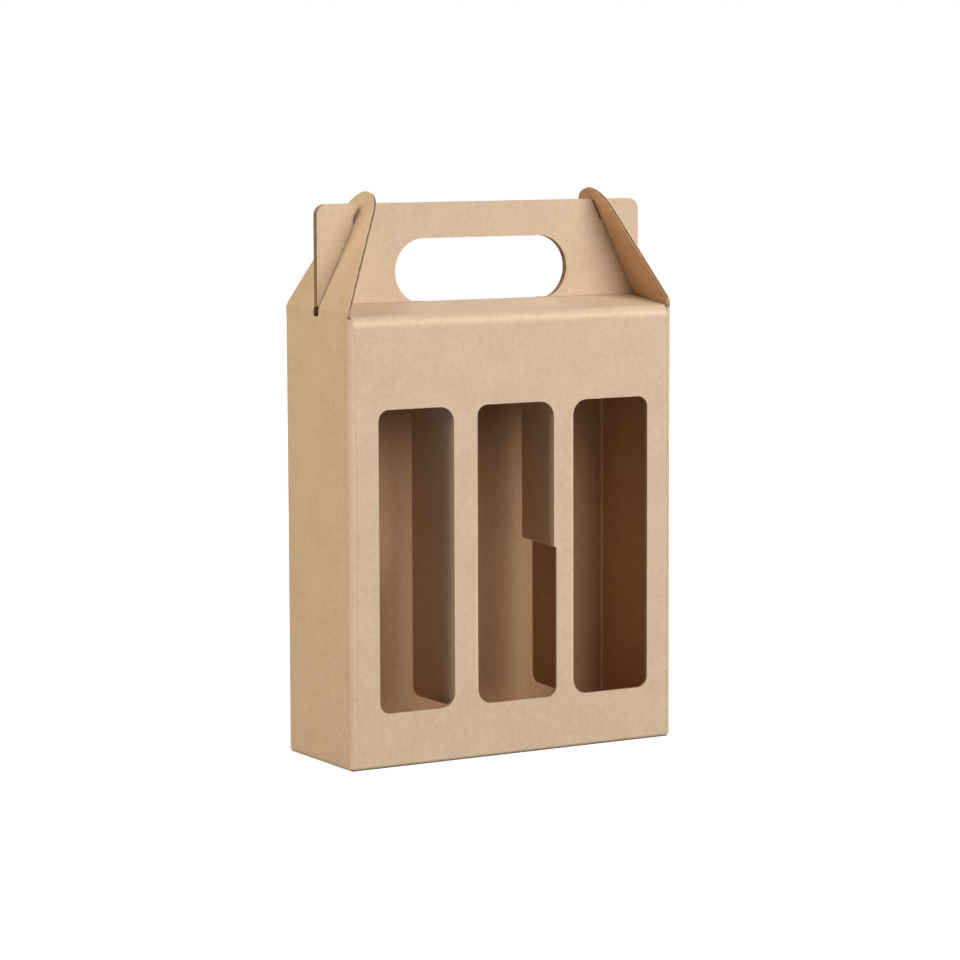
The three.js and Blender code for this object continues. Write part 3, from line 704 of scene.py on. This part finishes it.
# Ears: one on each end wall, bent inward at a crease. Its slot drops over both handle plies, and
# its bridge above the slot sits in the notches of their top edge.
EAR_LEAN = 26.5
EAR_LENGTH = 69 * MM
EAR_KNEE = 2.5 * MM
EAR_ROUND = 17 * MM
EAR_REACH = 1.2 * MM
SLOT_HEAD = EAR_FOLD + 49.6 * MM
knee = EAR_FOLD + EAR_KNEE
ear_foot = EAR_FOLD + EAR_FLAT
centre = EAR_FOLD + EAR_LENGTH - EAR_ROUND
rise = centre - knee
cheek = np.arctan2(EAR_HALF, rise) - np.arcsin(EAR_ROUND / np.hypot(EAR_HALF, rise))
apex = knee + EAR_HALF / np.tan(cheek)
for name, panel, middle, lean in (
    ("left", left, -side_middle, EAR_LEAN), ("right", right, side_middle, -EAR_LEAN),
):
    fold = joints[name + "_ear_fold"]["pos_m"]
    ear = folded(panel, fold, "Y", lean)
    place = on(ear)
    low_side, high_side = middle - EAR_HALF, middle + EAR_HALF
    slot_low, slot_high = middle - SLOT_HALF, middle + SLOT_HALF
    limbs = ((low_side, slot_low), (slot_high, high_side))
    rim = outline(
        (low_side, ear_foot), (low_side, knee), (middle, apex, EAR_ROUND),
        (high_side, knee), (high_side, ear_foot), points=41,
    )
    slot = cut_end(SLOT_HEAD, ear_foot, slot_low, slot_high, SLOT_ROUND, SLOT_ROUND)
    parts = []
    for low, high in (limbs[0], (slot_low, slot_high), limbs[1]):
        a = np.unique(np.concatenate([[low, high], rim[:, 0], slot[:, 0]]))
        a = a[(a >= low - WELD) & (a <= high + WELD)]
        top = np.interp(a, rim[1:-1, 0], rim[1:-1, 1])
        over_slot = np.interp(a, slot[1:-1, 0], slot[1:-1, 1])
        parts.append(skins(place, a, over_slot if low == slot_low else ear_foot, top))
    parts.append(raw_edge(place, rim[::-1]))
    parts.append(raw_edge(place, slot))
    for low, high in limbs:
        parts.append(joined_edge(place, [(low, ear_foot), (high, ear_foot)]))
    board(name + "_ear", name + "_ear", parts)
    bends = []
    for limb in limbs:
        bends += crease(panel, ear, EAR_FOLD, False, limb, EAR_FLAT, EAR_FLAT)
    hinge(
        name + "_ear_crease", bends, "body", name + "_ear",
        panel, ear, EAR_FOLD, False, middle, EAR_REACH,
    )


# Roof and handle: a roof panel from the front and one from the back rise a little to the middle,
# where each turns up into a handle ply. The two plies stand back to back with one hand hole.
ROOF_END = 98.2 * MM
ROOF_HOLLOW = 3.2 * MM
# A paler band on the roof crease, a little to the wall's side of its line: partly a stretching
# liner, partly a painted highlight.
ROOF_PALE_HIGHLIGHT, ROOF_HIGHLIGHT_AT, ROOF_HIGHLIGHT_WIDTH = 0.25, -3.5 * MM, 1.9 * MM
ROOF_FOOT_END = 96.99 * MM
HOLE_HALF = 54 * MM
HOLE_ROUND = 17.5 * MM
HOLE_MIDDLE = 261.5 * MM
HOLE_LIP = 1.2 * MM
PLY_TOP = 298.3 * MM
PLY_TOP_ROUND = 6 * MM
WING_FOOT = 244.0 * MM
WING_ROUND = 1.5 * MM
NOTCH_WALL, NOTCH_FLOOR = 79.41 * MM, 286.3 * MM
NOTCH_LOW, NOTCH_HIGH = 76.4 * MM, 70.42 * MM
HANDLE_FLAT = 4 * MM
SLOPE = 8.366
hole_flat = HOLE_HALF - HOLE_ROUND
for name, panel, middle, sign in (("front", front, 0.0, -1), ("back", back, back_middle, 1)):
    roof_hinge = joints[name + "_roof_fold"]["pos_m"]
    handle_hinge = joints[name + "_handle_fold"]["pos_m"]
    roof = folded(panel, roof_hinge, "X", sign * (90 - SLOPE))
    ply = folded(roof, handle_hinge, "X", -sign * (90 - SLOPE))
    handle_fold = (np.linalg.inv(roof) @ [*handle_hinge, 1])[1]
    up = handle_fold - handle_hinge[2]
    roof_low, roof_high = HEIGHT + ROOF_FLAT, handle_fold - HANDLE_FLAT
    lip = handle_fold - HOLE_LIP

    place = on(roof)
    end_low, end_high = np.interp(
        [roof_low, roof_high], [HEIGHT, handle_fold], [ROOF_END, ROOF_FOOT_END]
    )
    parts = []
    for side in (-1, 1):
        a = middle + side * np.array([hole_flat, end_high, end_low])
        high = np.array([roof_high, roof_high, roof_low + WELD * 2])
        order = np.argsort(a)
        parts.append(skins(place, a[order], roof_low, high[order]))
    parts.append(skins(place, middle + np.array([-hole_flat, hole_flat]), roof_low, lip))
    for rim in (
        [(end_low, roof_low), (end_high, roof_high)],
        [(-end_high, roof_high), (-end_low, roof_low)],
        [(hole_flat, roof_high), (hole_flat, lip), (-hole_flat, lip), (-hole_flat, roof_high)],
    ):
        parts.append(raw_edge(place, outline(*[(middle + a, b) for a, b in rim])))
    parts.append(joined_edge(place, [(middle - end_low, roof_low), (middle + end_low, roof_low)]))
    for low, high in ((-end_high, -hole_flat), (hole_flat, end_high)):
        parts.append(joined_edge(place, [(middle + high, roof_high), (middle + low, roof_high)]))
    board(name + "_roof_panel", name + "_roof", parts)

    ends = middle + np.array([-ROOF_END, ROOF_END])
    bends = crease(
        panel, roof, HEIGHT, False, ends, ROOF_FLAT, ROOF_FLAT, hollow=ROOF_HOLLOW,
        pale=ROOF_PALE_HIGHLIGHT, pale_at=ROOF_HIGHLIGHT_AT, pale_width=ROOF_HIGHLIGHT_WIDTH,
    )
    hinge(
        name + "_roof_crease", bends, "body", name + "_roof",
        panel, roof, HEIGHT, False, middle, bend_reach(np.radians(90 - SLOPE), ROOF_HOLLOW),
    )

    place = on(ply)
    foot = handle_fold + HANDLE_FLAT
    hole_centre = HOLE_MIDDLE + up
    foot_half = hole_flat + np.sqrt(HOLE_ROUND**2 - (hole_centre - foot) ** 2)
    top, notch_floor, wing_foot = PLY_TOP + up, NOTCH_FLOOR + up, WING_FOOT + up
    half_rim = [
        (ROOF_FOOT_END, wing_foot), (HALF_WIDTH, wing_foot, WING_ROUND),
        (HALF_WIDTH, top, PLY_TOP_ROUND), (NOTCH_WALL, top), (NOTCH_WALL, notch_floor),
        (NOTCH_LOW, notch_floor), (NOTCH_HIGH, top),
    ]
    rim = outline(*half_rim, *[(-corner[0], *corner[1:]) for corner in half_rim[::-1]])
    end = outline((NOTCH_WALL, top), (HALF_WIDTH, top, PLY_TOP_ROUND), (HALF_WIDTH, foot))[:-1]
    notch = np.array([
        (HOLE_HALF, top), (NOTCH_HIGH, top), (NOTCH_LOW, notch_floor), (NOTCH_WALL, notch_floor),
    ])
    wing = outline(
        (ROOF_FOOT_END, wing_foot), (HALF_WIDTH, wing_foot, WING_ROUND), (HALF_WIDTH, foot)
    )[:-1]
    sweep = np.linspace(-np.arccos((foot_half - hole_flat) / HOLE_ROUND), np.pi / 2, 33)
    arc = np.stack([np.cos(sweep), np.sin(sweep)], 1) * HOLE_ROUND + [hole_flat, hole_centre]
    hole = np.vstack([arc * [-1, 1], arc[::-1]])

    parts = []
    shift = np.array([middle, 0])
    over = hole[hole[:, 1] >= hole_centre - WELD]
    under = arc[arc[:, 1] <= hole_centre + WELD]
    parts.append(skins(place, middle + over[:, 0], over[:, 1], top))
    for side in (-1, 1):
        for path in (end, notch):
            parts.append(skins(place, middle + side * path[::side, 0], foot, path[::side, 1]))
        parts.append(skins(place, middle + side * under[::side, 0], foot - WELD, under[::side, 1]))
        parts.append(skins(place, middle + side * wing[::side, 0], wing[::side, 1], foot))
    parts.append(raw_edge(place, rim + shift))
    parts.append(raw_edge(place, hole + shift))
    for side in (-1, 1):
        ends = [(foot_half, foot), (ROOF_FOOT_END, foot), (ROOF_FOOT_END, wing_foot)]
        parts.append(joined_edge(place, [(middle + side * a, b) for a, b in ends][::side]))
    board(name + "_handle_ply", name + "_handle", parts)

    reach = bend_reach(np.radians(90 - SLOPE))
    bends = []
    across = bend_steps(HANDLE_FLAT, HANDLE_FLAT, reach)
    drop = np.minimum(hole_centre - handle_fold - across, HOLE_ROUND)
    inner_end = hole_flat + np.sqrt(HOLE_ROUND**2 - drop**2)
    outer_end = np.interp(across, [-HANDLE_FLAT, 0], [end_high, ROOF_FOOT_END])
    for ends in (np.stack([-outer_end, -inner_end]), np.stack([inner_end, outer_end])):
        bends += crease(roof, ply, handle_fold, False, middle + ends, HANDLE_FLAT, HANDLE_FLAT)
    hinge(
        name + "_handle_crease", bends, name + "_roof", name + "_handle",
        roof, ply, handle_fold, False, middle, reach,
    )


# Dividers: the board of each window, cut free on three sides and folded in on the fourth, so that
# it keeps two bottles apart. The middle window's board is cut in two, folded to opposite sides,
# and the two boards that are joined on their right curl a little next to their folds.
CURL = 17 * MM
FIRST_TURN, UPPER_TURN, LOWER_TURN, LAST_TURN = 90, 100.5, 97, 84.6
FOLD_CREST = 0.9
# A paler band along each divider's fold: partly a stretching liner, partly a painted highlight.
FOLD_PALE_HIGHLIGHT, FOLD_HIGHLIGHT_AT = 0.15, 0.4 * MM


def curl(away):
    """How far the board is off its plane at that distance from its fold: a third power that ends
    where the curl ends."""
    return -CREASE_INSET * np.clip(1 - away / CURL, 0, 1) ** 3


for name, turned_side, fold_angle, free, low_join, high_join in (
    ("left", 1, FIRST_TURN, lefts[0], joined_low, joined_high),
    ("centre_upper", 1, UPPER_TURN, lefts[1], over_cut, joined_high),
    ("centre_lower", -1, LOWER_TURN, low_right, joined_low, under_cut),
    ("right", -1, LAST_TURN, rights[2], joined_low, joined_high),
):
    node = name + "_divider"
    fold = joints[node + "_fold"]["pos_m"]
    line = fold[0]
    panel = folded(front, fold, "Z", -turned_side * fold_angle)
    curled = turned_side > 0
    place = on(panel, (lambda a, b: curl(line - a)) if curled else None)
    free, root = free + turned_side * CUT, line - turned_side * CUT
    edge_in = line - turned_side * DIVIDER_FLAT
    middle = (low_join + high_join) / 2
    ends = []
    for join, end in ((low_join, SILL + CUT), (high_join, HEAD - CUT)):
        if join in (under_cut, over_cut):
            ends.append(outline((free, middle), (free, join, HALVES_ROUND), (root, join)))
        else:
            ends.append(outline(
                (free, middle), (free, end, WINDOW_ROUND), (root, end, FOLD_ROUND), (root, join)
            ))
    bottom, top = ends
    curl_steps = line - turned_side * np.linspace(DIVIDER_FLAT, CURL, 7)
    a = np.unique(np.concatenate([bottom[:, 0], top[:, 0], curl_steps]))
    shape = [
        np.interp(turned_side * a, turned_side * path[1:, 0], path[1:, 1]) for path in (bottom, top)
    ]
    past_edge = turned_side * (a - edge_in)
    broad, narrow = past_edge <= WELD, past_edge >= -WELD
    parts = [
        skins(place, a[broad], shape[0][broad], shape[1][broad]),
        skins(place, a[narrow], shape[0][narrow], low_join),
        skins(place, a[narrow], high_join, shape[1][narrow]),
    ]
    rim = np.vstack([top[:0:-1], bottom[1:]])
    parts.append(raw_edge(place, rim[::turned_side]))
    rim = three_sides(root, edge_in, low_join, high_join)
    parts.append(joined_edge(place, rim[::turned_side]))
    board(node, node, parts)
    sides = (panel, front) if turned_side > 0 else (front, panel)
    bodies = (node, "body") if turned_side > 0 else ("body", node)
    join = [low_join, high_join]

    def drift(across):
        """The curl on the divider's side of the fold, eased out on the front panel's side."""
        eased = curl(0) * np.clip(1 - across / DIVIDER_FLAT, 0, 1) ** 2
        return np.where(across < 0, curl(-across), eased)[..., None] * panel[:3, 2]

    bends = crease(
        *sides, line, True, join, DIVIDER_FLAT, DIVIDER_FLAT, crest=FOLD_CREST,
        drift=drift if curled else None, pale=FOLD_PALE_HIGHLIGHT, pale_at=FOLD_HIGHLIGHT_AT * turned_side,
    )
    reach = bend_reach(np.radians(fold_angle))
    hinge(node + "_crease", bends, *bodies, *sides, line, True, middle, reach)


# Bottom: four flaps that lock without glue. The back flap folds in first, the side flaps lie under
# it, and the front flap's tongue snaps up through the back flap's recess.
LAYER = 2.1 * MM
CLEAR = 3.6 * MM
FLAP_FOOT = -NARROW_FLAT - WELD
FLAP_ROUND = 5 * MM
FRONT_FOOT_HALF, FRONT_HALF, FRONT_KNEE, FRONT_LENGTH = 97.1 * MM, 88.7 * MM, 12.3 * MM, 40 * MM
TONGUE_HALF, TONGUE_LENGTH, TONGUE_ROUND, TONGUE_RAMP = 47.3 * MM, 58 * MM, 8 * MM, 15 * MM
SLIT_HALF, SLIT_END = 48.7 * MM, 26.3 * MM
BACK_HALF, BACK_KNEE, BACK_TIP_HALF, BACK_LENGTH = 98.5 * MM, 15.6 * MM, 84.5 * MM, 44 * MM
RECESS_HALF, RECESS_FLOOR, BACK_RAMP = 49.4 * MM, 30 * MM, 12 * MM
SIDE_FOOT, SIDE_KNEE, SIDE_KNEE_DOWN, SIDE_TIP = -32.3 * MM, -22.3 * MM, 12.3 * MM, 2 * MM
SIDE_BACK, SIDE_LENGTH, SIDE_RAMP = 19.7 * MM, 38 * MM, 8 * MM


def climb(start, length, layers):
    """Height of a flap that climbs over others: a smooth step from start, over length."""
    def lift(a, b):
        share = np.clip((-b - start) / length, 0, 1)
        return -LAYER * layers * share * share * (3 - 2 * share)
    return lift


def moved_by(middle, side, corners):
    """Corners of a rim, mirrored if side is -1 and then moved along the crease to its middle."""
    return [(middle + side * corner[0], *corner[1:]) for corner in corners]


def flap(node, panel, rim, lift, crease_half, wall_panel, middle):
    """A bottom flap between its crease and a cut rim that runs along it, and the crease itself."""
    place = on(panel, lift)
    parts = [
        skins(place, rim[:, 0], rim[:, 1], -NARROW_FLAT, rows=24),
        raw_edge(place, rim),
        joined_edge(place, [(rim[-1, 0], -NARROW_FLAT), (rim[0, 0], -NARROW_FLAT)]),
    ]
    board(node, "body", parts)
    ends = middle + np.array([-crease_half, crease_half])
    bends = crease(panel, wall_panel, 0.0, False, ends, NARROW_FLAT, NARROW_FLAT)
    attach(piece(node + "_crease", bends), "body")


front_flap = folded(front, (0, -HALF_DEPTH, 0), "X", 90)
half_rim = [
    (FRONT_FOOT_HALF, FLAP_FOOT), (FRONT_HALF, -FRONT_KNEE),
    (FRONT_HALF, -FRONT_LENGTH, FLAP_ROUND), (SLIT_HALF, -FRONT_LENGTH, FLAP_ROUND),
    (SLIT_HALF, -SLIT_END), (TONGUE_HALF, -SLIT_END), (TONGUE_HALF, -TONGUE_LENGTH, TONGUE_ROUND),
]
rim = outline(*moved_by(0.0, -1, half_rim), *half_rim[::-1])
tongue_climb = climb(SLIT_END, TONGUE_RAMP, 3)
slit_middle = (TONGUE_HALF + SLIT_HALF) / 2


def tongue_lift(a, b):
    """The tongue alone climbs, three layers up, and the rest of its flap stays flat."""
    return np.where(abs(a) < slit_middle, tongue_climb(a, b), 0.0)


flap("bottom_front_flap", front_flap, rim, tongue_lift, WIDE_CREASE_HALF, front, 0.0)
back_flap = folded(back, (0, HALF_DEPTH, 0), "X", -90)
half_rim = [
    (BACK_HALF, FLAP_FOOT), (BACK_HALF, -BACK_KNEE), (BACK_TIP_HALF, -BACK_LENGTH, FLAP_ROUND),
    (RECESS_HALF, -BACK_LENGTH, FLAP_ROUND), (RECESS_HALF, -RECESS_FLOOR, FLAP_ROUND),
]
rim = outline(*moved_by(back_middle, -1, half_rim), *moved_by(back_middle, 1, half_rim[::-1]))
back_lift = climb(CLEAR, BACK_RAMP, 2)
flap("bottom_back_flap", back_flap, rim, back_lift, WIDE_CREASE_HALF, back, back_middle)
side_lift = climb(CLEAR, SIDE_RAMP, 1)
side_rim = [
    (SIDE_FOOT, FLAP_FOOT), (SIDE_KNEE, -SIDE_KNEE_DOWN), (SIDE_TIP, -SIDE_LENGTH, FLAP_ROUND),
    (SIDE_BACK, -SIDE_LENGTH, FLAP_ROUND), (SIDE_BACK, FLAP_FOOT),
]
for name, panel, sign in (("left", left, -1), ("right", right, 1)):
    middle = sign * side_middle
    side_flap = folded(panel, (sign * HALF_WIDTH, 0, 0), "Y", sign * 90)
    rim = outline(*moved_by(middle, sign, side_rim)[::sign])
    flap("bottom_" + name + "_flap", side_flap, rim, side_lift, SIDE_CREASE_HALF, panel, middle)


# Floor and backdrop: a white studio sweep. What the camera sees of it is white where no shadow
# falls, while the light that it throws back on the box is that of a grey floor. It glows less near
# the box and not at all under it.
seen = bpy.data.node_groups.new("Seen directly", "ShaderNodeTree")
seen.interface.new_socket("Seen", in_out="OUTPUT", socket_type="NodeSocketFloat")
rays = seen.nodes.new("ShaderNodeLightPath").outputs
direct = maths(seen, "MAXIMUM", rays["Is Camera Ray"], rays["Is Glossy Ray"])
direct = maths(seen, "MAXIMUM", direct, rays["Is Transmission Ray"])
seen.links.new(direct, seen.nodes.new("NodeGroupOutput").inputs["Seen"])

GLOW_NEAR, GLOW_FAR = 0.82, 1.0
NEAR_AWAY, FAR_AWAY = 0.25, 1.0
GLOW_EDGE = 0.98
FLOOR_HALF = 9.0
FLOOR_DROP = -0.1 * MM
floor_mesh = bpy.data.meshes.new("floor")
corners = FLOOR_HALF * np.array([(-1, -1), (1, -1), (1, 1), (-1, 1)])
floor_mesh.from_pydata([(x, y, FLOOR_DROP) for x, y in corners], [], [(0, 1, 2, 3)])
floor = bpy.data.objects.new("floor", floor_mesh)
bpy.context.scene.collection.objects.link(floor)
white = bpy.data.materials.new("floor_white")
white.use_nodes = True
tree = white.node_tree
shader = tree.nodes["Principled BSDF"]
shader.inputs["Base Color"].default_value = (0.35, 0.35, 0.345, 1)
shader.inputs["Roughness"].default_value = 0.9
shader.inputs["Specular IOR Level"].default_value = 0.0
shader.inputs["Emission Color"].default_value = (1, 1, 1, 1)
spot = link(tree, "ShaderNodeTexCoord").outputs["Object"]
away = link(tree, "ShaderNodeVectorMath", {0: spot}, operation="LENGTH").outputs["Value"]
ring = {
    "Value": away, "From Min": NEAR_AWAY, "From Max": FAR_AWAY,
    "To Min": GLOW_NEAR, "To Max": GLOW_FAR,
}
bright = link(tree, "ShaderNodeMapRange", ring).outputs[0]
per_half = {0: spot, 1: (1 / HALF_WIDTH, 1 / HALF_DEPTH, 0)}
share = link(tree, "ShaderNodeVectorMath", per_half, operation="MULTIPLY")
share = link(tree, "ShaderNodeVectorMath", {0: share.outputs[0]}, operation="ABSOLUTE")
x, y, _ = link(tree, "ShaderNodeSeparateXYZ", {0: share.outputs[0]}).outputs
edge_band = {"Value": maths(tree, "MAXIMUM", x, y), "From Min": GLOW_EDGE, "From Max": 1.0}
clear = link(tree, "ShaderNodeMapRange", edge_band).outputs[0]
bright = maths(tree, "MULTIPLY", bright, clear)
glow = maths(tree, "MULTIPLY", link(tree, "ShaderNodeGroup", node_tree=seen).outputs[0], bright)
tree.links.new(glow, shader.inputs["Emission Strength"])
floor_mesh.materials.append(white)

AMBIENT = 0.02
world = bpy.data.worlds.new("studio")
world.use_nodes = True
tree = world.node_tree
direct = link(tree, "ShaderNodeGroup", node_tree=seen).outputs[0]
sky = maths(tree, "MULTIPLY_ADD", direct, 1 - AMBIENT, AMBIENT)
tree.links.new(sky, tree.nodes["Background"].inputs["Strength"])
tree.nodes["Background"].inputs["Color"].default_value = (1, 1, 1, 1)
bpy.context.scene.world = world


# Lamps: three square soft boxes. The largest stands in front, a little to the right and above. A
# weaker, warmer one lights the left side, and one stands behind.
box_middle = Vector((0, 0, HEIGHT / 2))
for name, azimuth, elevation, distance, size, watts, colour in (
    ("key_lamp", 18, 32, 2.6, 2.4, 82, (0.97, 0.98, 1.0)),
    ("left_lamp", -97, 23, 2.2, 1.2, 32, (1.0, 0.88, 0.72)),
    ("back_lamp", 160, 40, 2.2, 1.6, 22, (1.0, 0.98, 0.95)),
):
    lamp = bpy.data.objects.new(name, bpy.data.lights.new(name, "AREA"))
    bpy.context.scene.collection.objects.link(lamp)
    azimuth, elevation = np.radians(azimuth), np.radians(elevation)
    flat = np.cos(elevation)
    towards = Vector((np.sin(azimuth) * flat, -np.cos(azimuth) * flat, np.sin(elevation)))
    lamp.location = box_middle + distance * towards
    lamp.rotation_euler = towards.to_track_quat("Z", "Y").to_euler()
    lamp.data.size = size
    lamp.data.energy = watts
    lamp.data.color = colour


# Camera: a long lens, a little higher than the top of the box and looking slightly down, turned to
# the front left corner so that the front and the left side show.
CAMERA_PLACE = (-0.9411, -1.6025, 0.3511)
CAMERA_TURN, CAMERA_TILT, CAMERA_ROLL = -30.41, -6.3, -0.21
LENS_MM, SENSOR_MM = 128, 36
camera_turn = (
    Matrix.Rotation(np.radians(CAMERA_TURN), 4, "Z")
    @ Matrix.Rotation(np.radians(90 + CAMERA_TILT), 4, "X")
    @ Matrix.Rotation(np.radians(CAMERA_ROLL), 4, "Z")
)
camera = bpy.data.objects.new("camera", bpy.data.cameras.new("camera"))
bpy.context.scene.collection.objects.link(camera)
camera.location = CAMERA_PLACE
camera.rotation_euler = camera_turn.to_euler()
camera.data.sensor_width = SENSOR_MM
camera.data.lens = LENS_MM
bpy.context.scene.camera = camera
bpy.context.scene.view_settings.view_transform = "Standard"
